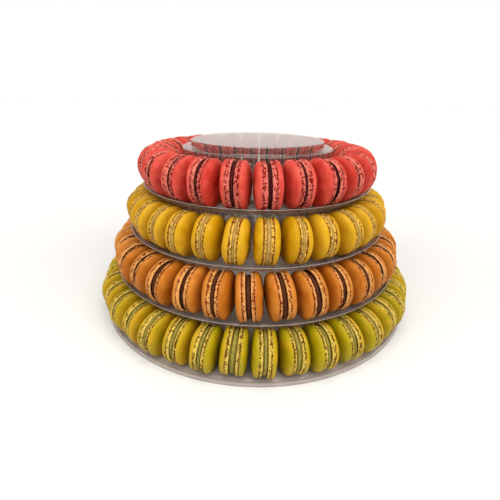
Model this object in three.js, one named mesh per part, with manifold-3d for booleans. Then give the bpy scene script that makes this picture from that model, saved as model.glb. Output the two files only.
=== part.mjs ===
// A macaron tower: four clear thermoformed trays stacked on their raised hubs, each carrying a ring
// of macarons that stand on edge side by side in its channel.
// Millimetres, +Z up. The origin is the centre of the base on the table, and the front faces -Y.
// Azimuths are counted from the front towards +X.

import * as THREE from 'three';
import { mergeVertices } from 'three/addons/utils/BufferGeometryUtils.js';
import Module from 'manifold-3d';

const manifold = await Module();
manifold.setup();

// ---------------------------------------------------------------------------------------------
// Driving dimensions
// ---------------------------------------------------------------------------------------------

const CLEARANCE = 0.3; // kept between pieces that rest on each other
const SHEET = 0.6; // thickness of the clear sheet
const TIER_PITCH = 45.5; // from one tray's channel floor to the next
const BASE_RIM_RADIUS = 183;
const RIM_STEP = 18.3; // each tray is this much smaller in radius than the one below

// One tray. Heights are above its channel floor, widths are measured inwards from its rim.
const HUB_FOOT_INSET = 42.6;
const LEDGE_INSET = 43.8; // the hub wall leans in by the difference, so that trays part from the mould
const LEDGE_HEIGHT = 39.7;
const BOSS_INSET = 53.8; // the boss is the raised disc that carries the tray above
const BOSS_HEIGHT = 48.4;
const LIP_WIDTH = 4.5;
const LIP_HEIGHT = 4.4;
const LIP_CREST_INSET = 1.3; // from the rim to the highest line of the lip
const LIP_DROP = 0.5; // how far the rim hangs below the lip's crest on the upper trays
const TRAY_SIDES = 24;

// One macaron, as shares of its radius and of its thickness.
const CROWN_RADIUS = 0.6; // the nearly flat crown of each shell
const EDGE_HEIGHT = 0.26; // where a shell's foot ends and its dome begins, from the middle
const MACARON_SIDES = 8;

// How far one macaron may differ from the next.
const THICKNESS_SPREAD = 0.04;
const DIAMETER_SPREAD = 0.006;
const LEAN_SPREAD = THREE.MathUtils.degToRad(1); // tipping sideways along the ring, each by itself
const SHARED_LEAN_SPREAD = THREE.MathUtils.degToRad(4.5); // the same, for those that touch and lean together
const TURN_SPREAD = THREE.MathUtils.degToRad(2); // turning about the upright axis
const SHIFT_SPREAD = 0.3; // in or out of the ring
const STAGGER = 1; // every other macaron stands this much further out, and the rest further in
const PRESS = 0.6; // how far two soft shells that touch press into each other

const CLEAR_SHEET = { color: 0xd8d6d4, roughness: 0.08, metalness: 0 };

// From the bottom up. thickness is from crown to crown, inset is from the rim to the circle that the
// macarons' middles stand on, and phase is the azimuth of the first macaron in degrees.
const TIERS = [
  {
    colourName: 'green',
    color: 0xb5a834,
    count: 40,
    nodes: 14,
    diameter: 43.4,
    thickness: 23.1,
    inset: 19.1,
    phase: 4.0,
  },
  {
    colourName: 'amber',
    color: 0xd9802f,
    count: 35,
    nodes: 12,
    diameter: 43.3,
    thickness: 23.4,
    inset: 19.2,
    phase: -1.1,
  },
  {
    colourName: 'yellow',
    color: 0xdfac22,
    count: 32,
    nodes: 16,
    diameter: 42.6,
    thickness: 21.7,
    inset: 19.4,
    phase: -6.8,
  },
  {
    colourName: 'red',
    color: 0xd9443a,
    count: 26,
    nodes: 13,
    diameter: 43.6,
    thickness: 23.2,
    inset: 17.5,
    phase: 5.3,
  },
];

// ---------------------------------------------------------------------------------------------
// Solids
// ---------------------------------------------------------------------------------------------

// The solid inside a closed geometry. Vertices that share a place become one, and the slivers
// without area that a lathe leaves at its poles are dropped.
function solidOf(geometry) {
  const bare = geometry.clone();
  bare.deleteAttribute('normal');
  bare.deleteAttribute('uv');
  const merged = mergeVertices(bare, 1e-4);
  const corners = [];
  for (let i = 0; i < merged.index.count; i += 3) {
    const [a, b, c] = merged.index.array.slice(i, i + 3);
    if (a !== b && b !== c && c !== a) corners.push(a, b, c);
  }
  return new manifold.Manifold(
    new manifold.Mesh({
      numProp: 3,
      vertProperties: merged.attributes.position.array,
      triVerts: new Uint32Array(corners),
    }),
  );
}

function geometryOf(solid) {
  const mesh = solid.getMesh();
  const geometry = new THREE.BufferGeometry();
  geometry.setAttribute('position', new THREE.BufferAttribute(mesh.vertProperties, 3));
  geometry.setIndex(new THREE.BufferAttribute(mesh.triVerts, 1));
  return geometry;
}

// ---------------------------------------------------------------------------------------------
// Trays
// ---------------------------------------------------------------------------------------------

// The section of one tray's sheet as a closed loop: along its upper face from the axis out to the
// rim, then back along its under face. The floor rises in a step next to the hub, and the boss of
// the tray below fits under that step.
function traySection(rimRadius, lipDrop) {
  const stepRadius = rimRadius + RIM_STEP - BOSS_INSET + CLEARANCE + SHEET;
  const stepHeight = BOSS_HEIGHT - TIER_PITCH + CLEARANCE + SHEET;
  const hubFootRadius = rimRadius - HUB_FOOT_INSET;
  const ledgeRadius = rimRadius - LEDGE_INSET;
  const bossRadius = rimRadius - BOSS_INSET;
  const rimHeight = LIP_HEIGHT - lipDrop;
  const upperFace = [
    [0, BOSS_HEIGHT],
    [bossRadius, BOSS_HEIGHT],
    [bossRadius, LEDGE_HEIGHT],
    [ledgeRadius, LEDGE_HEIGHT],
    [hubFootRadius, stepHeight],
    [stepRadius, stepHeight],
    [stepRadius, 0],
    [rimRadius - LIP_WIDTH, 0],
    [rimRadius - LIP_CREST_INSET, LIP_HEIGHT],
    [rimRadius, rimHeight],
  ];
  const underFace = [
    [rimRadius - LIP_CREST_INSET, LIP_HEIGHT - SHEET],
    [rimRadius - LIP_WIDTH + SHEET / 2, -SHEET],
    [stepRadius - SHEET, -SHEET],
    [stepRadius - SHEET, stepHeight - SHEET],
    [hubFootRadius - SHEET, stepHeight - SHEET],
    [ledgeRadius - SHEET, LEDGE_HEIGHT - SHEET],
    [bossRadius - SHEET, LEDGE_HEIGHT - SHEET],
    [bossRadius - SHEET, BOSS_HEIGHT - SHEET],
    [0, BOSS_HEIGHT - SHEET],
  ];
  return [...upperFace, ...underFace].map(([radius, height]) => new THREE.Vector2(radius, height));
}

function trayMesh(name, rimRadius, lipDrop) {
  const points = traySection(rimRadius, lipDrop).reverse();
  const geometry = new THREE.LatheGeometry(points, TRAY_SIDES);
  geometry.rotateX(Math.PI / 2);
  const mesh = new THREE.Mesh(
    geometryOf(solidOf(geometry)),
    new THREE.MeshStandardMaterial(CLEAR_SHEET),
  );
  mesh.name = name;
  return mesh;
}

// ---------------------------------------------------------------------------------------------
// Macarons
// ---------------------------------------------------------------------------------------------

// A repeatable unevenness between -1 and 1 for one property of one macaron.
function unevenness(index, property) {
  const wave = Math.sin(index * 12.9898 + property * 78.233) * 43758.5453;
  return 2 * (wave - Math.floor(wave)) - 1;
}

// Every macaron of a tier: its size, how it leans, and its azimuth. Neighbours come closest where
// the inner edges of their crowns meet. Inside a node the shells press together there, and the room
// that is left round the ring is shared out between the nodes.
function layOutRing(tier, level) {
  const ringRadius = BASE_RIM_RADIUS - level * RIM_STEP - tier.inset;
  const macarons = [];
  for (let i = 0; i < tier.count; i += 1) {
    const node = Math.floor((i * tier.nodes) / tier.count);
    const macaronSeed = 100 * (level + 1) + i;
    const nodeSeed = 100 * (level + 1) + node;
    macarons.push({
      node,
      radius: (tier.diameter / 2) * (1 + DIAMETER_SPREAD * unevenness(macaronSeed, 1)),
      thickness: tier.thickness * (1 + THICKNESS_SPREAD * unevenness(macaronSeed, 2)),
      lean:
        LEAN_SPREAD * unevenness(macaronSeed, 3) + SHARED_LEAN_SPREAD * unevenness(nodeSeed, 6),
      turn: TURN_SPREAD * unevenness(nodeSeed, 4),
      ringRadius: ringRadius + SHIFT_SPREAD * unevenness(nodeSeed, 5) + (i % 2 ? -1 : 1) * STAGGER,
    });
  }
  const contactRadius = ringRadius - (CROWN_RADIUS * tier.diameter) / 2;
  const filled = macarons.reduce((sum, macaron) => sum + macaron.thickness, 0);
  const touches = tier.count - tier.nodes;
  const room = (2 * Math.PI * contactRadius - filled + touches * PRESS) / tier.nodes;
  let along = 0;
  macarons.forEach((macaron, i) => {
    macaron.azimuth = THREE.MathUtils.degToRad(tier.phase) + along / contactRadius;
    const next = macarons[(i + 1) % tier.count];
    const gap = next.node === macaron.node ? -PRESS : room;
    along += (macaron.thickness + next.thickness) / 2 + gap;
  });
  return macarons;
}

// A macaron with its middle at the origin and its axis along X: a band with the two feet and the
// filling between them, and a shell on each side that narrows to its crown. The outline has flat
// sides to stand on.
function macaronGeometry(macaron) {
  const crownCorner = (CROWN_RADIUS * macaron.radius) / Math.cos(Math.PI / MACARON_SIDES);
  const corners = [];
  for (let side = 0; side < MACARON_SIDES; side += 1) {
    const angle = ((side + 0.5) * 2 * Math.PI) / MACARON_SIDES;
    corners.push(new THREE.Vector2(crownCorner * Math.cos(angle), crownCorner * Math.sin(angle)));
  }
  const bandWidth = 2 * EDGE_HEIGHT * macaron.thickness;
  const geometry = new THREE.ExtrudeGeometry(new THREE.Shape(corners), {
    depth: bandWidth,
    bevelSegments: 1,
    bevelSize: (1 - CROWN_RADIUS) * macaron.radius,
    bevelThickness: (macaron.thickness - bandWidth) / 2,
  });
  geometry.translate(0, 0, -bandWidth / 2);
  geometry.rotateY(Math.PI / 2);
  return geometry;
}

// Stands a macaron on the channel floor at its place in the ring.
function standingMacaron(macaron) {
  const geometry = macaronGeometry(macaron);
  geometry.rotateY(macaron.lean);
  geometry.rotateZ(macaron.turn);
  const lowest =
    macaron.radius * Math.cos(macaron.lean) +
    EDGE_HEIGHT * macaron.thickness * Math.abs(Math.sin(macaron.lean));
  geometry.translate(0, -macaron.ringRadius, lowest + CLEARANCE);
  geometry.rotateZ(macaron.azimuth);
  return solidOf(geometry);
}

function macaronMeshes(tier, level) {
  const material = new THREE.MeshStandardMaterial({
    color: tier.color,
    roughness: 0.55,
    metalness: 0,
  });
  const solids = new Map();
  for (const macaron of layOutRing(tier, level)) {
    const solid = standingMacaron(macaron);
    const joined = solids.get(macaron.node);
    solids.set(macaron.node, joined ? joined.add(solid) : solid);
  }
  return [...solids].map(([node, solid]) => {
    const mesh = new THREE.Mesh(geometryOf(solid), material);
    mesh.name = `${tier.colourName}_macarons_${String(node + 1).padStart(2, '0')}`;
    return mesh;
  });
}

// ---------------------------------------------------------------------------------------------
// The tower
// ---------------------------------------------------------------------------------------------

const tower = new THREE.Group();
TIERS.forEach((tier, level) => {
  const storey = new THREE.Group();
  storey.position.z = SHEET + level * TIER_PITCH;
  // The base tray's rim reaches down to the table.
  const lipDrop = level === 0 ? LIP_HEIGHT + SHEET : LIP_DROP;
  storey.add(trayMesh(`tray_${level + 1}`, BASE_RIM_RADIUS - level * RIM_STEP, lipDrop));
  storey.add(...macaronMeshes(tier, level));
  tower.add(storey);
});

export default tower;
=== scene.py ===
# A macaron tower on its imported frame: clear trays stacked on their hubs, and round each tray a ring
# of macarons that stand on edge. Metres, +Z up, the front faces -Y.

import math

import bpy
import numpy as np
from mathutils import Matrix, Vector


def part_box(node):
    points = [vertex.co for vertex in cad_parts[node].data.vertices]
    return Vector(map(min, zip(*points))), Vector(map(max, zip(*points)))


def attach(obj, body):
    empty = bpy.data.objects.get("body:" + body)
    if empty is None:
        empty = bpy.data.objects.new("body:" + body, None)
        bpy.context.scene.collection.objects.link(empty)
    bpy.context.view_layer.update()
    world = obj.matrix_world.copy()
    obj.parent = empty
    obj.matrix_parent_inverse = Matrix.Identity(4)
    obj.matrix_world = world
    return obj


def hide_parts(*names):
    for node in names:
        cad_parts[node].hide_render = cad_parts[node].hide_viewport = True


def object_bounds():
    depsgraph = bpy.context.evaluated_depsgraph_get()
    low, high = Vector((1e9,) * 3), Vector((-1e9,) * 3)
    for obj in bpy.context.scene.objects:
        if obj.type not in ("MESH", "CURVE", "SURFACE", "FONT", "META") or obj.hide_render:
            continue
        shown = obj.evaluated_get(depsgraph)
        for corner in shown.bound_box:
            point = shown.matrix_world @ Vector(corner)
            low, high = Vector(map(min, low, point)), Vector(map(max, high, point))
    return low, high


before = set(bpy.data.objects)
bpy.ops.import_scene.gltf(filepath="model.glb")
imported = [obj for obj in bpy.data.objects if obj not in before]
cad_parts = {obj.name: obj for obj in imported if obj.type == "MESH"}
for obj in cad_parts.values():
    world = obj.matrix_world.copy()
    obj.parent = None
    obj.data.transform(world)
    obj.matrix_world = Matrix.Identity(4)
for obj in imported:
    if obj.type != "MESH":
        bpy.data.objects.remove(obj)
cad_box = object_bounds()


# ---------------------------------------------------------------------------------------------
# Camera
# ---------------------------------------------------------------------------------------------
# Someone who stands before the table holds it a little above the tower, close by, with a wide lens.
# It looks down at the middle of the rings and is turned and tipped by about a degree.

CAMERA_PLACE = (0.0, -0.4042, 0.2294)
CAMERA_LOOKS_DOWN = math.radians(24.22)
CAMERA_TURNS_LEFT = math.radians(0.9)
CAMERA_TIPS = math.radians(1.05)
FOCAL_LENGTH_MM = 24.67
SENSOR_WIDTH_MM = 36.0

camera_data = bpy.data.cameras.new("camera")
camera_data.sensor_width = SENSOR_WIDTH_MM
camera_data.lens = FOCAL_LENGTH_MM
camera_data.clip_start = 0.01
camera_data.clip_end = 60.0
camera = bpy.data.objects.new("camera", camera_data)
camera.matrix_world = (
    Matrix.Translation(CAMERA_PLACE)
    @ Matrix.Rotation(CAMERA_TURNS_LEFT, 4, "Z")
    @ Matrix.Rotation(math.pi / 2 - CAMERA_LOOKS_DOWN, 4, "X")
    @ Matrix.Rotation(CAMERA_TIPS, 4, "Z")
)
bpy.context.scene.collection.objects.link(camera)
bpy.context.scene.camera = camera


# ---------------------------------------------------------------------------------------------
# Table and light
# ---------------------------------------------------------------------------------------------
# A plain white table in a room whose far wall is white. One very wide soft lamp hangs overhead, and
# one stands in front at either side. The other walls and the ceiling are grey, so that the sheets
# mirror little and the macarons turn darker away from the lamps.

TABLE_RADIUS = 12.0
TABLE_SIDES = 96
TABLE_GAP = 0.0001
TABLE_ROUGHNESS = 0.6
TABLE_WHITE = (0.68, 0.678, 0.67)
ROOM_WHITE = (1.0, 1.0, 0.995)
CEILING_GREY = (0.15, 0.15, 0.155)
SIDE_GREY = (0.13, 0.13, 0.135)
FAR_WALL_START = 0.75  # cosine of the angle from the far side where the walls begin to darken
FAR_WALL_END = 0.1  # the same, where they are as grey as the sides
WALL_TOP = 0.2  # sine of the height above the horizon where the walls begin to darken
CEILING_START = 0.62  # the same, where they are as grey as the ceiling
LAMP_COLOUR = (1.0, 0.98, 0.95)
OVERHEAD_SPREAD = math.radians(60)
FRONT_SPREAD = math.radians(50)


def wire(tree, kind, inputs=None, **settings):
    """A node of that kind. Each input takes either a value or the socket of another node."""
    made = tree.nodes.new(kind)
    for name, value in settings.items():
        setattr(made, name, value)
    for socket, value in (inputs or {}).items():
        if isinstance(value, bpy.types.NodeSocket):
            tree.links.new(value, made.inputs[socket])
        else:
            made.inputs[socket].default_value = value
    return made


def new_material(name):
    """An empty node material and its output node."""
    material = bpy.data.materials.new(name)
    material.use_nodes = True
    material.node_tree.nodes.clear()
    return material, wire(material.node_tree, "ShaderNodeOutputMaterial")


def soft_sun(name, direction, spread, strength, mirrored):
    """Even light from one side, as from a very large lamp far away. spread is how wide it looks, and
    mirrored is whether glossy surfaces show it."""
    sun = bpy.data.lights.new(name, "SUN")
    sun.energy = strength
    sun.angle = spread
    sun.color = LAMP_COLOUR
    held = bpy.data.objects.new(name, sun)
    held.rotation_euler = Vector(direction).to_track_quat("-Z", "Y").to_euler()
    held.visible_glossy = mirrored
    bpy.context.scene.collection.objects.link(held)


table_material, table_output = new_material("white_table")
table_shader = wire(
    table_material.node_tree,
    "ShaderNodeBsdfPrincipled",
    {"Base Color": (*TABLE_WHITE, 1.0), "Roughness": TABLE_ROUGHNESS},
)
table_material.node_tree.links.new(table_shader.outputs[0], table_output.inputs["Surface"])

turns = np.linspace(0.0, 2 * math.pi, TABLE_SIDES, endpoint=False)
table_edge = TABLE_RADIUS * np.stack([np.cos(turns), np.sin(turns), 0 * turns], axis=1)
table_edge[:, 2] = cad_box[0].z - TABLE_GAP
table_mesh = bpy.data.meshes.new("table")
table_mesh.from_pydata(table_edge.tolist(), [], [list(range(len(turns)))])
table_mesh.materials.append(table_material)
table = bpy.data.objects.new("table", table_mesh)
bpy.context.scene.collection.objects.link(table)

room = bpy.data.worlds.new("room")
room.use_nodes = True
room_tree = room.node_tree
direction = wire(room_tree, "ShaderNodeTexCoord").outputs["Generated"]
parts = wire(room_tree, "ShaderNodeSeparateXYZ", {"Vector": direction}).outputs
nearness = {"Value": parts["Y"], "From Min": FAR_WALL_START, "From Max": FAR_WALL_END}
side_share = wire(room_tree, "ShaderNodeMapRange", nearness).outputs["Result"]
wall_shades = {0: side_share, 6: (*ROOM_WHITE, 1.0), 7: (*SIDE_GREY, 1.0)}
walls = wire(room_tree, "ShaderNodeMix", wall_shades, data_type="RGBA").outputs[2]
darkening = {"Value": parts["Z"], "From Min": WALL_TOP, "From Max": CEILING_START}
overhead = wire(room_tree, "ShaderNodeMapRange", darkening).outputs["Result"]
shades = {0: overhead, 6: walls, 7: (*CEILING_GREY, 1.0)}
room_colour = wire(room_tree, "ShaderNodeMix", shades, data_type="RGBA").outputs[2]
room_tree.links.new(room_colour, room_tree.nodes["Background"].inputs["Color"])
bpy.context.scene.world = room

soft_sun("overhead_light", (-0.06, 0.2, -0.98), OVERHEAD_SPREAD, 2.6, mirrored=True)
soft_sun("left_light", (0.74, 0.46, -0.49), FRONT_SPREAD, 1.88, mirrored=False)
soft_sun("right_light", (-0.74, 0.46, -0.49), FRONT_SPREAD, 2.1, mirrored=False)

bpy.context.scene.view_settings.view_transform = "Standard"
bpy.context.scene.cycles.transparent_max_bounces = 48


# ---------------------------------------------------------------------------------------------
# Trays
# ---------------------------------------------------------------------------------------------
# Each tray is one round sheet of clear plastic, drawn over a mould while hot and trimmed at the rim.
# A hub rises in its middle and ends in a ledge and a boss. The next tray's floor is raised beside its
# own hub, and sits over that boss. Round the floor runs a rolled lip with fine stiffening ridges.

SHEET = 0.0006
TIER_PITCH = 0.0455
RIM_STEP = 0.0183
CLEARANCE = 0.0003
HUB_FOOT_INSET = 0.0426
LEDGE_INSET = 0.0438
LEDGE_HEIGHT = 0.0411
BOSS_INSET = 0.0538
BOSS_HEIGHT = 0.0484
LIP_WIDTH = 0.0045
LIP_HEIGHT = 0.0044
LIP_CREST_INSET = 0.0013
LIP_RISE = 0.0006
LIP_ROUND = 0.0008
SKIRT_ROUND = 0.0005
CORNER_ROUNDS = (0.0012, 0.0025, 0.0014, 0.0012, 0.001, 0.001, 0.0012)  # from the boss outwards
RIDGE_INSETS = (0.0056, 0.0073, 0.009)
RIDGE_HEIGHT = 0.0004
RIDGE_WIDTH = 0.0008
TRAY_COLUMNS = 192
RIDGE_STEPS = 9
LONGEST_STEP = 0.012
SHORTEST_STEP = 0.00004
SKIRT_DEPTH = 0.001  # the skirt begins this far under the crest of the lip

# Share of the light that the sheet scatters.
HAZE = 0.015
EDGE_HAZE = 0.3
RIDGE_HAZE = 0.15
TOP_HAZE = 0.03
FLOOR_HAZE = 0.06
BASE_FLOOR_HAZE = 0.12
LIP_HAZE = 0.03
# The haze's warm tone is partly painted light: it stands in for light that the macarons throw onto the
# sheet.
HAZE_AND_BOUNCE_COLOUR = (0.72, 0.63, 0.6, 1.0)
HAZE_ROUGHNESS = 0.3

# Painted shade in what shows through the sheet, from the clear tint at 0 to the darker tint at 1.
# At the edge, lip and ridges it stands in for light the sheet bends away, and on the floor for the
# shade under the macarons.
EDGE_BENT = 0.3
LIP_BENT = 0.7
# painted shade: the floor's darker tint stands for the shade under the macarons
FLOOR_PAINTED_SHADE = 0.3
RIDGE_BENT = 0.6
BASE_BENT = 0.4  # the base, flat on the white table, shows this share of it
CLEAR_TINT = (0.972, 0.966, 0.958, 1.0)
PAINTED_SHADE_TINT = (0.76, 0.7, 0.64, 1.0)

MIRROR_COLOUR = (0.78, 0.72, 0.7, 1.0)
MIRROR_ROUGHNESS = 0.18
MIRRORED_SQUARE_ON = 0.05
MIRROR_POWER = 5.0
RIPPLES_PER_METRE = 35.0
RIPPLE_STRENGTH = 0.06
RIPPLE_DEPTH = 0.0008


def closed_mesh(name, rings, first_pole, last_pole):
    """A closed skin from rings of points, an array of (rings, columns, 3): quads join each ring to the
    next, and a fan of triangles joins each pole to the ring beside it. With the rings ordered along
    an axis and the columns turning right-handed about it, all faces point outwards."""
    ring_count, columns = rings.shape[:2]
    ring, column = np.meshgrid(np.arange(ring_count - 1), np.arange(columns), indexing="ij")
    after = (column + 1) % columns
    here, above = ring * columns, (ring + 1) * columns
    quads = np.stack([here + column, here + after, above + after, above + column], axis=-1)
    edge = np.arange(columns)
    edge_after = (edge + 1) % columns
    last_ring = (ring_count - 1) * columns
    pole = ring_count * columns
    start_fan = np.stack([np.full(columns, pole), edge_after, edge], axis=-1)
    end_fan = np.stack([np.full(columns, pole + 1), last_ring + edge, last_ring + edge_after], axis=-1)
    corners = np.concatenate([quads.ravel(), start_fan.ravel(), end_fan.ravel()])
    sizes = np.concatenate([np.full(quads.size // 4, 4), np.full(2 * columns, 3)])
    points = np.concatenate([rings.reshape(-1, 3), [first_pole, last_pole]])
    mesh = bpy.data.meshes.new(name)
    mesh.vertices.add(len(points))
    mesh.vertices.foreach_set("co", points.astype(np.float32).ravel())
    mesh.loops.add(len(corners))
    mesh.loops.foreach_set("vertex_index", corners.astype(np.int32))
    mesh.polygons.add(len(sizes))
    mesh.polygons.foreach_set("loop_start", (np.cumsum(sizes) - sizes).astype(np.int32))
    mesh.polygons.foreach_set("use_smooth", np.ones(len(sizes), bool))
    mesh.update(calc_edges=True)
    return mesh


def give_attribute(mesh, name, values):
    """One number for each vertex, which the materials read by name."""
    mesh.attributes.new(name, "FLOAT", "POINT").data.foreach_set("value", values.astype(np.float32))


def rounded_path(corners, radii, step_angle=math.radians(15)):
    """A path through corners in which each inner corner becomes an arc. The arc begins and ends where
    its circle touches the two straight runs, the radius times tan(turn / 2) away from the corner."""
    corners = np.array(corners, float)
    points = [corners[:1]]
    for before, corner, after, radius in zip(corners[:-2], corners[1:-1], corners[2:], radii):
        come = (corner - before) / np.linalg.norm(corner - before)
        leave = (after - corner) / np.linalg.norm(after - corner)
        turn = math.atan2(come[0] * leave[1] - come[1] * leave[0], come @ leave)
        side = math.copysign(1.0, turn)
        start = corner - come * radius * math.tan(abs(turn) / 2)
        centre = start + side * radius * np.array([-come[1], come[0]])
        angles = np.linspace(0.0, turn, max(2, round(abs(turn) / step_angle)) + 1)[:, None]
        spoke = start - centre
        crossed = np.array([-spoke[1], spoke[0]])
        points.append(centre + spoke * np.cos(angles) + crossed * np.sin(angles))
    points.append(corners[-1:])
    return np.concatenate(points)


def tray_upper_face(rim, lip_drop):
    """Radius and height of a tray's upper face from its axis to its rim, above the channel floor. It
    is a run of straight lines and arcs: boss, ledge, hub, nesting step, channel and lip."""
    step_radius = rim + RIM_STEP - BOSS_INSET + CLEARANCE + SHEET
    step_height = BOSS_HEIGHT - TIER_PITCH + CLEARANCE + SHEET
    boss = rim - BOSS_INSET
    corners = [
        (0.0, BOSS_HEIGHT),
        (boss, BOSS_HEIGHT),
        (boss, LEDGE_HEIGHT),
        (rim - LEDGE_INSET, LEDGE_HEIGHT),
        (rim - HUB_FOOT_INSET, step_height),
        (step_radius, step_height),
        (step_radius, 0.0),
        (rim - LIP_WIDTH, 0.0),
        (rim - LIP_CREST_INSET, LIP_HEIGHT),
        (rim, LIP_HEIGHT - lip_drop),
    ]
    crest_round = LIP_ROUND if lip_drop < LIP_HEIGHT else SKIRT_ROUND
    return rounded_path(corners, [*CORNER_ROUNDS, crest_round])


def tray_mesh(name, rim, floor, lip_drop, floor_haze, bend):
    """The tray's face turned about its axis, with a second face one sheet's thickness below it. The
    ridges are raised cosines of the distance from the rim. Each vertex carries how hazy the sheet is
    there and how much painted shade darkens what shows through it: light bent away at the edge, lip
    and ridges, and the shade under the macarons on the floor. bend scales the second of these for the
    whole tray."""
    upper = tray_upper_face(rim, lip_drop)
    lengths = np.concatenate([[0.0], np.cumsum(np.linalg.norm(np.diff(upper, axis=0), axis=1))])
    channel = lengths[np.argmin(np.abs(upper[:, 0] - (rim - LIP_WIDTH)))]
    ridge_steps = np.linspace(-RIDGE_WIDTH, RIDGE_WIDTH, RIDGE_STEPS)
    ridges = [channel - (inset - LIP_WIDTH) + ridge_steps for inset in RIDGE_INSETS]
    even_steps = np.arange(0.0, lengths[-1], LONGEST_STEP)
    steps = np.unique(np.concatenate([lengths, even_steps, *ridges]))
    steps = steps[np.concatenate([[True], np.diff(steps) > SHORTEST_STEP])]
    radius = np.interp(steps, lengths, upper[:, 0])
    height = np.interp(steps, lengths, upper[:, 1])
    along_r, along_z = np.gradient(radius, steps), np.gradient(height, steps)
    size = np.hypot(along_r, along_z)
    under_r = radius + SHEET * along_z / size
    under_z = np.maximum(height - SHEET * along_r / size, -SHEET)
    on_top = height > BOSS_HEIGHT - SHEET
    on_skirt = (height < LIP_HEIGHT - SKIRT_DEPTH) & (height > height[-1] + SHEET)
    on_lip = radius > rim - LIP_WIDTH
    at_edge = radius > rim - LIP_CREST_INSET / 2
    on_floor = radius > rim - HUB_FOOT_INSET
    zones = [on_top, on_skirt & at_edge, at_edge, on_lip, on_floor]
    haze = np.select(zones, [TOP_HAZE, HAZE, EDGE_HAZE, LIP_HAZE, floor_haze], HAZE)
    # painted shade in what shows through: light bent away at the edge, lip and ridges, and the shade under
    # the macarons on the floor
    painted_shade = np.select(zones, [0.0, 0.0, EDGE_BENT, LIP_BENT, FLOOR_PAINTED_SHADE], 0.0)
    for inset in RIDGE_INSETS:
        across = np.clip(np.abs(rim - inset - radius) / RIDGE_WIDTH, 0.0, 1.0)
        ridge = (1 + np.cos(math.pi * across)) / 2
        height = height + RIDGE_HEIGHT * ridge
        under_z = under_z + RIDGE_HEIGHT * ridge
        haze = haze + RIDGE_HAZE * ridge ** 2
        painted_shade = painted_shade + RIDGE_BENT * ridge
    loop_r = np.concatenate([under_r[1:], radius[:0:-1]])[:, None]
    loop_z = np.concatenate([under_z[1:], height[:0:-1]])[:, None] + floor
    columns = np.linspace(0.0, 2 * math.pi, TRAY_COLUMNS, endpoint=False)[None, :]
    rings = np.stack(
        [loop_r * np.cos(columns), loop_r * np.sin(columns), loop_z + 0 * columns], axis=-1
    )
    mesh = closed_mesh(name, rings, (0.0, 0.0, floor + under_z[0]), (0.0, 0.0, floor + height[0]))
    for kind, share in (("haze", haze), ("painted_shade", bend * painted_shade)):
        ring_share = np.repeat(np.concatenate([share[1:], share[:0:-1]]), TRAY_COLUMNS)
        give_attribute(mesh, kind, np.concatenate([ring_share, [share[0], share[0]]]))
    return mesh


def clear_sheet_material():
    """Clear sheet. The share it mirrors is 0.05 + 0.95 f^5, where f is 0 seen square on and 1 seen
    edge on. What lies behind shows through a faint tint, with painted shade over it where the mesh
    says so: darker at the edge, lip and ridges for light the sheet bends away, and on the floor for
    the shade under the macarons. In its hazy places a thin warm grey lies over both."""
    material, output = new_material("clear_sheet")
    tree = material.node_tree
    place = wire(tree, "ShaderNodeTexCoord").outputs["Object"]
    ripple = wire(
        tree,
        "ShaderNodeTexNoise",
        {"Vector": place, "Scale": RIPPLES_PER_METRE, "Detail": 2.0},
    )
    relief = {"Height": ripple.outputs["Fac"], "Strength": RIPPLE_STRENGTH, "Distance": RIPPLE_DEPTH}
    rippled = wire(tree, "ShaderNodeBump", relief).outputs["Normal"]
    skin = wire(
        tree,
        "ShaderNodeBsdfGlossy",
        {"Color": MIRROR_COLOUR, "Roughness": MIRROR_ROUGHNESS, "Normal": rippled},
    )
    painted_shade = wire(tree, "ShaderNodeAttribute", attribute_name="painted_shade").outputs["Fac"]
    tints = {0: painted_shade, 6: CLEAR_TINT, 7: PAINTED_SHADE_TINT}
    tint = wire(tree, "ShaderNodeMix", tints, data_type="RGBA").outputs[2]
    behind = wire(tree, "ShaderNodeBsdfTransparent", {"Color": tint})
    facing = wire(tree, "ShaderNodeLayerWeight", {"Normal": rippled}).outputs["Facing"]
    slant = wire(tree, "ShaderNodeMath", {0: facing, 1: MIRROR_POWER}, operation="POWER").outputs[0]
    shares = {"Value": slant, "To Min": MIRRORED_SQUARE_ON, "To Max": 1.0}
    mirrored = wire(tree, "ShaderNodeMapRange", shares).outputs[0]
    clear = wire(
        tree,
        "ShaderNodeMixShader",
        {"Fac": mirrored, 1: behind.outputs[0], 2: skin.outputs[0]},
    )
    cloud = wire(
        tree,
        "ShaderNodeBsdfPrincipled",
        {"Base Color": HAZE_AND_BOUNCE_COLOUR, "Roughness": HAZE_ROUGHNESS},
    )
    haze = wire(tree, "ShaderNodeAttribute", attribute_name="haze").outputs["Fac"]
    mix = wire(tree, "ShaderNodeMixShader", {"Fac": haze, 1: clear.outputs[0], 2: cloud.outputs[0]})
    tree.links.new(mix.outputs[0], output.inputs["Surface"])
    return material


def tray_rim_and_floor(level):
    """Radius of a tray's rim and height of its channel floor, from the box of its solid."""
    low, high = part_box(f"tray_{level + 1}")
    return (high.x - low.x) / 2, high.z - BOSS_HEIGHT


clear_sheet = clear_sheet_material()
for level in range(4):
    rim, floor = tray_rim_and_floor(level)
    lip_drop = LIP_HEIGHT + SHEET if level == 0 else -LIP_RISE
    floor_haze = BASE_FLOOR_HAZE if level == 0 else FLOOR_HAZE
    bend = BASE_BENT if level == 0 else 1.0
    name = f"clear_tray_{level + 1}"
    tray = bpy.data.objects.new(name, tray_mesh(name, rim, floor, lip_drop, floor_haze, bend))
    tray.data.materials.append(clear_sheet)
    bpy.context.scene.collection.objects.link(tray)
    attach(tray, "root")
    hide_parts(f"tray_{level + 1}")


# ---------------------------------------------------------------------------------------------
# Macarons
# ---------------------------------------------------------------------------------------------
# Two baked almond shells held together by a filling. Each shell has a smooth dome, and under it a
# foot, the rough band where the batter rose while the skin was already dry. They stand on edge in
# the channel, side by side round the hub.

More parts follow.
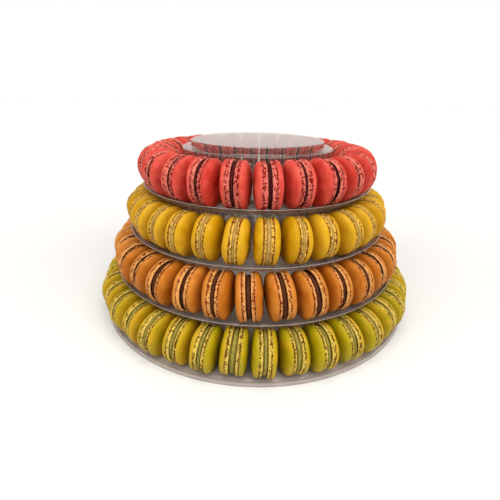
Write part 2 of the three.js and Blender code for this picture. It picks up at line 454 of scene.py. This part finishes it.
CROWN_RADIUS = 0.6  # where crowns come closest, as a share of the radius
THICKNESS_SPREAD = 0.04
DIAMETER_SPREAD = 0.006
LEAN_SPREAD = math.radians(1)
OWN_TURN_SHARE = 0.6  # of the tier's lean, for each macaron by itself
SHARED_TURN_SHARE = 0.4  # the same, for neighbours that touch
SHIFT_SPREAD = 0.0003
STAGGER = 0.0007
FILLING_SPREAD = 0.2
FOOT_SPREAD = 0.12
SHELL_SHIFT = 0.0004  # how far a shell may sit off the other one's axis
MACARON_COLUMNS = 96

DOME_RISE = 1.03  # the crown swells this much past the flat crown of its solid
DOME_POWER = 2.7
DOME_REACH = 0.996  # widest place of the dome, as a share of the radius
OUT_OF_ROUND = 0.006
WEDGE_SHARE = 0.12  # of the filling's width
RUFFLE_DEPTH = 0.00026
CRUMB_DEPTH = 0.00016
CRUMB_WIDTH = 0.00014
PIT_DEPTH = 0.0009
DENT_DEPTH = 0.00028
SQUEEZE_DEPTH = 0.0004
GRAIN_DEPTH = 0.0001

PITS_ACROSS = 1.25  # pits are this much shorter across the foot than along it
CRUMBS_PER_METRE = 1100.0
PORES_PER_METRE = 580.0
MOTTLES_PER_METRE = 110.0
SHADES_PER_METRE = 260.0
SPECKS_PER_METRE = 1400.0
SPECK_COLOUR = (0.45, 0.22, 0.18, 1.0)
DOME_ROUGHNESS = 0.46
FOOT_ROUGHNESS = 0.9
FILLING_ROUGHNESS = 0.55
SHELL_GLOSS = 0.2
FILLING_GLOSS = 0.06
SHELL_RELIEF = {"Strength": 0.9, "Distance": 0.0011}
FILLING_RELIEF = {"Strength": 0.4, "Distance": 0.0005}


def display_colour(red, green, blue):
    """A colour given as it shows on a screen, 0 to 255, as the linear light that shaders take."""
    shown = np.array([red, green, blue]) / 255.0
    linear = np.where(shown <= 0.04045, shown / 12.92, ((shown + 0.055) / 1.055) ** 2.4)
    return (*linear.tolist(), 1.0)


# From the bottom up. thickness is from crown to crown, inset from the rim to the circle that the
# middles stand on, phase the azimuth in degrees of the first macaron, and lean how far in degrees
# neighbours that touch tip together. filling and foot are the widths of those bands as shares of the
# thickness, and sunk is how far the filling stays inside the shells, as a share of the radius. torn
# says how much of the foot is torn open, first along the line under the dome and then elsewhere.
# Of a dome's two colours the first is the deeper one, and of a filling's the second. The crevice
# colour is painted shade in the crevices beside the shells, and the pit colour is painted shade inside
# the pits of the foot. specks is how plainly pale specks show in the filling.
TIERS = [
    {
        "colour_name": "green",
        "count": 40,
        "nodes": 14,
        "diameter": 0.0434,
        "thickness": 0.0231,
        "inset": 0.0188,
        "phase": 3.55,
        "lean": 4.5,
        "filling": 0.21,
        "foot": 0.16,
        "sunk": 0.075,
        "torn": (0.7, 0.08),
        "dome": (display_colour(148, 134, 7), display_colour(178, 140, 20)),
        "foot_colour": display_colour(216, 186, 88),
        "foot_shade": display_colour(190, 156, 46),
        "pit_shade_colour": display_colour(94, 58, 8),
        "filling_colour": (display_colour(138, 127, 58), display_colour(120, 108, 44)),
        "crevice_shade_colour": display_colour(76, 62, 18),
        "specks": 0.0,
    },
    {
        "colour_name": "amber",
        "count": 35,
        "nodes": 12,
        "diameter": 0.0441,
        "thickness": 0.0234,
        "inset": 0.0191,
        "phase": -1.5,
        "lean": 4.5,
        "filling": 0.21,
        "foot": 0.15,
        "sunk": 0.085,
        "torn": (0.8, 0.06),
        "dome": (display_colour(168, 95, 20), display_colour(190, 119, 44)),
        "foot_colour": display_colour(228, 164, 96),
        "foot_shade": display_colour(204, 130, 56),
        "pit_shade_colour": display_colour(128, 44, 8),
        "filling_colour": (display_colour(84, 46, 24), display_colour(64, 32, 17)),
        "crevice_shade_colour": display_colour(34, 12, 8),
        "specks": 0.0,
    },
    {
        "colour_name": "yellow",
        "count": 32,
        "nodes": 16,
        "diameter": 0.0426,
        "thickness": 0.0217,
        "inset": 0.0191,
        "phase": -7.1,
        "lean": 5,
        "filling": 0.13,
        "foot": 0.13,
        "sunk": 0.025,
        "torn": (0.85, 0.1),
        "dome": (display_colour(182, 134, 4), display_colour(200, 153, 28)),
        "foot_colour": display_colour(224, 182, 84),
        "foot_shade": display_colour(208, 156, 40),
        "pit_shade_colour": display_colour(122, 62, 8),
        "filling_colour": (display_colour(176, 146, 82), display_colour(152, 122, 58)),
        "crevice_shade_colour": display_colour(140, 100, 48),
        "specks": 0.0,
    },
    {
        "colour_name": "red",
        "count": 26,
        "nodes": 13,
        "diameter": 0.0430,
        "thickness": 0.0236,
        "inset": 0.0172,
        "phase": 5.0,
        "lean": 1.5,
        "filling": 0.15,
        "foot": 0.19,
        "sunk": 0.085,
        "torn": (0.6, 0.3),
        "dome": (display_colour(182, 50, 38), display_colour(206, 82, 68)),
        "foot_colour": display_colour(234, 130, 112),
        "foot_shade": display_colour(196, 62, 52),
        "pit_shade_colour": display_colour(134, 8, 12),
        "filling_colour": (display_colour(84, 16, 16), display_colour(52, 6, 8)),
        "crevice_shade_colour": display_colour(30, 3, 4),
        "specks": 0.35,
    },
]


def unevenness(index, prop):
    """A repeatable number between -1 and 1: twice the fraction of a large multiple of a sine, less 1.
    Each whole number prop gives a series of its own over index."""
    wave = np.sin(index * 12.9898 + prop * 78.233) * 43758.5453
    return 2 * (wave - np.floor(wave)) - 1


def lay_out_ring(tier, level, rim):
    """Size, lean, turn, radius and azimuth of each macaron of a tier, as arrays. Going round, each
    azimuth adds half of both neighbours' thicknesses and an even gap, over the radius where their
    crowns come closest. Every second macaron stands a little further in."""
    index = np.arange(tier["count"])
    node = index * tier["nodes"] // tier["count"]
    macaron_seed = 100 * (level + 1) + index
    node_seed = 100 * (level + 1) + node
    ring = rim - tier["inset"]
    radius = tier["diameter"] / 2 * (1 + DIAMETER_SPREAD * unevenness(macaron_seed, 1))
    thickness = tier["thickness"] * (1 + THICKNESS_SPREAD * unevenness(macaron_seed, 2))
    own_lean = LEAN_SPREAD * unevenness(macaron_seed, 3)
    unrest = math.radians(tier["lean"])
    own_turn = OWN_TURN_SHARE * unrest * unevenness(macaron_seed, 8)
    stagger = np.where(index % 2 == 1, -STAGGER, STAGGER)
    contact = ring - CROWN_RADIUS * tier["diameter"] / 2
    gap = (2 * math.pi * contact - thickness.sum()) / tier["count"]
    along = np.cumsum((thickness + np.roll(thickness, -1)) / 2 + gap)
    return {
        "node": node,
        "radius": radius,
        "thickness": thickness,
        "lean": own_lean + unrest * unevenness(node_seed, 6),
        "turn": own_turn + SHARED_TURN_SHARE * unrest * unevenness(node_seed, 4),
        "ring": ring + SHIFT_SPREAD * unevenness(node_seed, 5) + stagger,
        "azimuth": math.radians(tier["phase"]) + np.concatenate([[0.0], along[:-1]]) / contact,
    }


def ring_waves(rng, angles, rows, slowest, fastest, count):
    """Unevenness round a band, about -1 to 1: a sum of cosines, each with a whole number of waves to
    the turn, a random phase, and a slow drift of that phase from row to row."""
    waves = rng.integers(slowest, fastest + 1, count)[:, None, None]
    phases = rng.uniform(0, 2 * math.pi, count)[:, None, None]
    drifts = rng.uniform(-1.3, 1.3, count)[:, None, None]
    return np.cos(waves * angles + phases + drifts * rows[:, None]).sum(axis=0) / math.sqrt(count)


def smooth_step(low, high, values):
    """0 below low, 1 above high, and the curve 3t^2 - 2t^3 between."""
    t = np.clip((values - low) / (high - low), 0.0, 1.0)
    return t * t * (3 - 2 * t)


def shell_rings(rng, angles, tier, radius, half, filling, foot):
    """One shell from the rim of its foot to the ring beside its pole. Distance from the filling's edge
    is x, distance from the axis is r. The foot is a rough band with a groove under the dome. The dome
    is a superellipse: the shares of its radius and of its height, each to DOME_POWER, add up to 1.
    Returns x, r, the band coordinate (0 to 1 on the foot, 1 to 2 on the dome) and how torn it is."""
    # rows of the foot: share of its width, share of the radius, roughness, closeness to the groove
    foot_rows = np.array([
        [0.00, 0.925, 0.3, 0.0],
        [0.08, 0.962, 0.8, 0.0],
        [0.26, 0.984, 1.0, 0.1],
        [0.46, 0.988, 1.0, 0.3],
        [0.64, 0.982, 1.0, 0.8],
        [0.78, 0.966, 0.8, 1.0],
        [0.90, 0.972, 0.5, 0.7],
        [1.00, 0.992, 0.2, 0.1],
    ])
    share, reach, rough, groove = foot_rows.T.copy()
    reach[0] = np.clip(0.99 - tier["sunk"], 0.925, 0.965)
    rise = np.linspace(0.0, math.pi / 2, 10)[1:-1]
    dome_reach = np.cos(rise) ** (2 / DOME_POWER)
    dome_height = np.sin(rise) ** (2 / DOME_POWER)
    none = np.zeros(len(rise))
    along = np.concatenate([share * foot, foot + dome_height * (half - filling - foot)])
    reach = np.concatenate([reach, DOME_REACH * dome_reach])[:, None]
    rough = np.concatenate([rough, none])[:, None]
    groove = np.concatenate([groove, none])[:, None]
    band = np.concatenate([share, 1 + dome_height])[:, None]
    rows = np.arange(len(along), dtype=float)
    line, spread = tier["torn"]
    ruffle = ring_waves(rng, angles, 0.9 * rows, 7, 22, 10)
    crumbs = ring_waves(rng, angles, 2.2 * rows, 24, 42, 10)
    slow = ring_waves(rng, angles, 0.1 * rows, 2, 5, 4)
    dents = ring_waves(rng, angles, 0.35 * rows, 2, 5, 4)
    pits = smooth_step(0.3, 1.3, ring_waves(rng, angles, 0.7 * rows, 11, 40, 14)) * rough
    out_of_round = 1 + OUT_OF_ROUND * np.cos(2 * angles + rng.uniform(0, 2 * math.pi))
    wedge = WEDGE_SHARE * filling * np.cos(angles - rng.uniform(0, 2 * math.pi))
    r = radius * reach * out_of_round
    r = r + RUFFLE_DEPTH * rough * ruffle + CRUMB_DEPTH * rough * crumbs
    r = r - PIT_DEPTH * (line + spread) * pits
    x = filling + wedge + along[:, None] + CRUMB_WIDTH * rough * crumbs + DENT_DEPTH * (band > 1) * dents
    torn = line * groove + spread * (1 - groove) * rough + 0.12 * slow * rough + 0.3 * pits
    return x, r, np.broadcast_to(band, r.shape), np.clip(torn, 0.0, 1.0)


def filling_rings(rng, angles, tier, radius, left_edge, right_edge):
    """The filling's skin from one shell to the other: sunk inside them, deeper beside each shell, and
    pressed a little unevenly. Its band coordinate runs from 0 at the shells to -1 in the middle."""
    share = np.linspace(-1.0, 1.0, 6)[:, None]
    middle = 1 - np.abs(share)
    squeeze = ring_waves(rng, angles, 0.4 * share[:, 0], 2, 6, 5)
    grain = ring_waves(rng, angles, 9 * share[:, 0], 20, 44, 9)
    sunk = tier["sunk"] * (rng.uniform(0.6, 1.3) + 0.6 * (1 - middle) ** 2)
    coarse = 1 + 2 * tier["specks"]
    r = radius * (1 - sunk) + SQUEEZE_DEPTH * squeeze + GRAIN_DEPTH * grain * coarse
    x = left_edge * (1 - share) / 2 + right_edge * (1 + share) / 2
    return x, r, np.broadcast_to(-middle, r.shape)


def macaron_mesh(name, seed, tier, layout, floor):
    """Shell, filling and shell in one closed skin about the X axis, then tipped, turned, stood on the
    channel floor and carried round to its place in the ring."""
    rng = np.random.default_rng(seed)
    radius, thickness = layout["radius"], layout["thickness"]
    half = DOME_RISE * thickness / 2
    filling = tier["filling"] * thickness / 2 * rng.uniform(1 - FILLING_SPREAD, 1 + FILLING_SPREAD)
    foot = tier["foot"] * thickness * rng.uniform(1 - FOOT_SPREAD, 1 + FOOT_SPREAD)
    angles = np.linspace(0.0, 2 * math.pi, MACARON_COLUMNS, endpoint=False)[None, :]
    shells, poles, bakes = [], [], []
    for side in (-1, 1):
        x, r, band, torn = shell_rings(rng, angles, tier, radius, half, filling, foot)
        off_y, off_z = rng.uniform(-SHELL_SHIFT, SHELL_SHIFT, 2)
        ring = np.stack([side * x, r * np.cos(angles) + off_y, r * np.sin(angles) + off_z], axis=-1)
        shells.append((ring[::side], band[::side], torn[::side]))
        poles.append((side * half, off_y, off_z))
        bakes.append(rng.uniform(0.0, 1.0))
    (left, left_band, left_torn), (right, right_band, right_torn) = shells
    x, r, cream_band = filling_rings(rng, angles, tier, radius, left[-1, :, 0], right[0, :, 0])
    cream = np.stack([x, r * np.cos(angles), r * np.sin(angles)], axis=-1)
    rings = np.concatenate([left, cream, right])
    bake = np.repeat([bakes[0], 0.5, bakes[1]], [left_band.size, cream_band.size, right_band.size])
    own = np.concatenate([rings.reshape(-1, 3), poles])
    standing = Matrix.Rotation(layout["turn"], 3, "Z") @ Matrix.Rotation(layout["lean"], 3, "Y")
    points = own @ np.array(standing).T
    points[:, 1] -= layout["ring"]
    points[:, 2] += floor - points[:, 2].min()
    points = points @ np.array(Matrix.Rotation(layout["azimuth"], 3, "Z")).T
    mesh = closed_mesh(name, points[:-2].reshape(rings.shape), points[-2], points[-1])
    bands = [left_band.ravel(), cream_band.ravel(), right_band.ravel(), [2.0, 2.0]]
    give_attribute(mesh, "band", np.concatenate(bands))
    tears = [left_torn.ravel(), 0 * r.ravel(), right_torn.ravel(), [0.0, 0.0]]
    give_attribute(mesh, "torn", np.concatenate(tears))
    give_attribute(mesh, "bake", np.concatenate([bake, bakes]))
    own_place = (own + rng.uniform(-1.0, 1.0, 3)) * (PITS_ACROSS, 1.0, 1.0)
    mesh.attributes.new("own_place", "FLOAT_VECTOR", "POINT").data.foreach_set(
        "vector", own_place.astype(np.float32).ravel()
    )
    quad_rows = np.repeat(np.arange(len(rings) - 1), MACARON_COLUMNS)
    is_filling = (quad_rows >= len(left) - 1) & (quad_rows < len(left) + len(cream))
    slots = np.concatenate([is_filling, np.zeros(2 * MACARON_COLUMNS, bool)]).astype(np.int32)
    mesh.polygons.foreach_set("material_index", slots)
    return mesh


def attribute_value(tree, name, output="Fac"):
    """A value that the mesh carries at its vertices."""
    return wire(tree, "ShaderNodeAttribute", attribute_name=name).outputs[output]


def ramp(tree, value, start, end, low=0.0, high=1.0):
    """low where the value is under start, high where it is over end, and a straight run between."""
    ends = {"Value": value, "From Min": start, "From Max": end, "To Min": low, "To Max": high}
    return wire(tree, "ShaderNodeMapRange", ends).outputs["Result"]


def blend(tree, share, first, second):
    """The first colour where the share is 0, the second where it is 1."""
    colours = {0: share, 6: first, 7: second}
    return wire(tree, "ShaderNodeMix", colours, data_type="RGBA").outputs[2]


def arithmetic(tree, operation, first, second):
    """The sum, the difference or the product of two values."""
    return wire(tree, "ShaderNodeMath", {0: first, 1: second}, operation=operation).outputs[0]


def noise(tree, place, scale, detail, roughness=0.5):
    """Soft random clouds, scale of them to the metre."""
    settings = {"Vector": place, "Scale": scale, "Detail": detail, "Roughness": roughness}
    return wire(tree, "ShaderNodeTexNoise", settings).outputs["Fac"]


def shell_material(tier):
    """Baked shell: a satin dome, a crumbly foot that is palest at its lip, partly as painted highlight
    where the lip catches light, and pits where the foot tore, painted dark with the shade inside them.
    The dome's two colours are mixed by how long the shell was in the oven, plus wide soft clouds."""
    material, output = new_material(f"{tier['colour_name']}_shell")
    tree = material.node_tree
    place = attribute_value(tree, "own_place", "Vector")
    band = attribute_value(tree, "band")
    on_foot = ramp(tree, band, 0.94, 1.06, 1.0, 0.0)
    crumb = noise(tree, place, CRUMBS_PER_METRE, 3.0, 0.65)
    pores = noise(tree, place, PORES_PER_METRE, 3.0, 0.55)
    mottle = noise(tree, place, MOTTLES_PER_METRE, 3.0)
    tone = arithmetic(tree, "ADD", attribute_value(tree, "bake"), ramp(tree, mottle, 0.3, 0.7, -0.5, 0.5))
    dome = blend(tree, tone, *tier["dome"])
    # The foot is paler towards its lip beside the filling: partly painted highlight where the lip catches
    # light. The crumb clouds are the foot's own tone.
    crumb_and_lip_highlight = arithmetic(tree, "ADD", ramp(tree, crumb, 0.36, 0.62), ramp(tree, band, 0.0, 0.34, 0.7, 0.0))
    crumbs = blend(tree, crumb_and_lip_highlight, tier["foot_shade"], tier["foot_colour"])
    body = blend(tree, on_foot, dome, crumbs)
    opened = arithmetic(tree, "ADD", pores, ramp(tree, attribute_value(tree, "torn"), 0.0, 1.0, 0.0, 0.28))
    pits = arithmetic(tree, "MULTIPLY", ramp(tree, opened, 0.61, 0.7), on_foot)
    # painted shade: the pits take a dark colour for the shade inside them, besides their bump
    colour = blend(tree, pits, body, tier["pit_shade_colour"])
    grain = arithmetic(tree, "MULTIPLY", crumb, ramp(tree, on_foot, 0.0, 1.0, 0.2, 1.0))
    swelling = arithmetic(tree, "MULTIPLY", mottle, 0.5)
    relief = arithmetic(tree, "SUBTRACT", arithmetic(tree, "ADD", grain, swelling), pits)
    bump = wire(tree, "ShaderNodeBump", {"Height": relief, **SHELL_RELIEF})
    shader = wire(
        tree,
        "ShaderNodeBsdfPrincipled",
        {
            "Base Color": colour,
            "Roughness": ramp(tree, on_foot, 0.0, 1.0, DOME_ROUGHNESS, FOOT_ROUGHNESS),
            "Normal": bump.outputs["Normal"],
            "Specular IOR Level": SHELL_GLOSS,
        },
    )
    tree.links.new(shader.outputs[0], output.inputs["Surface"])
    return material


def filling_material(tier):
    """Soft filling: two close shades with pale specks in the coarse one, and painted shade, a darker
    colour, in the crevices beside the shells."""
    material, output = new_material(f"{tier['colour_name']}_filling")
    tree = material.node_tree
    place = attribute_value(tree, "own_place", "Vector")
    shade = ramp(tree, noise(tree, place, SHADES_PER_METRE, 3.0), 0.35, 0.65)
    cream = blend(tree, shade, *tier["filling_colour"])
    # painted shade: near the shells the filling turns to a darker colour, as the crevices there are shaded
    painted_crevice_shade = ramp(tree, attribute_value(tree, "band"), -0.75, -0.15)
    shaded = blend(tree, painted_crevice_shade, cream, tier["crevice_shade_colour"])
    grain = noise(tree, place, SPECKS_PER_METRE, 2.0)
    speck = ramp(tree, grain, 0.60, 0.68, 0.0, tier["specks"])
    colour = blend(tree, speck, shaded, SPECK_COLOUR)
    bump = wire(tree, "ShaderNodeBump", {"Height": grain, **FILLING_RELIEF})
    shader = wire(
        tree,
        "ShaderNodeBsdfPrincipled",
        {
            "Base Color": colour,
            "Roughness": FILLING_ROUGHNESS,
            "Normal": bump.outputs["Normal"],
            "Specular IOR Level": FILLING_GLOSS,
        },
    )
    tree.links.new(shader.outputs[0], output.inputs["Surface"])
    return material


for level, tier in enumerate(TIERS):
    rim, floor = tray_rim_and_floor(level)
    finishes = shell_material(tier), filling_material(tier)
    layout = lay_out_ring(tier, level, rim)
    for index in range(tier["count"]):
        own_layout = {key: values[index] for key, values in layout.items()}
        name = f"{tier['colour_name']}_macaron_{index + 1:02d}"
        seed = 1000 * (level + 1) + index
        macaron = bpy.data.objects.new(name, macaron_mesh(name, seed, tier, own_layout, floor))
        for finish in finishes:
            macaron.data.materials.append(finish)
        bpy.context.scene.collection.objects.link(macaron)
        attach(macaron, "root")
        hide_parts(f"{tier['colour_name']}_macarons_{own_layout['node'] + 1:02d}")
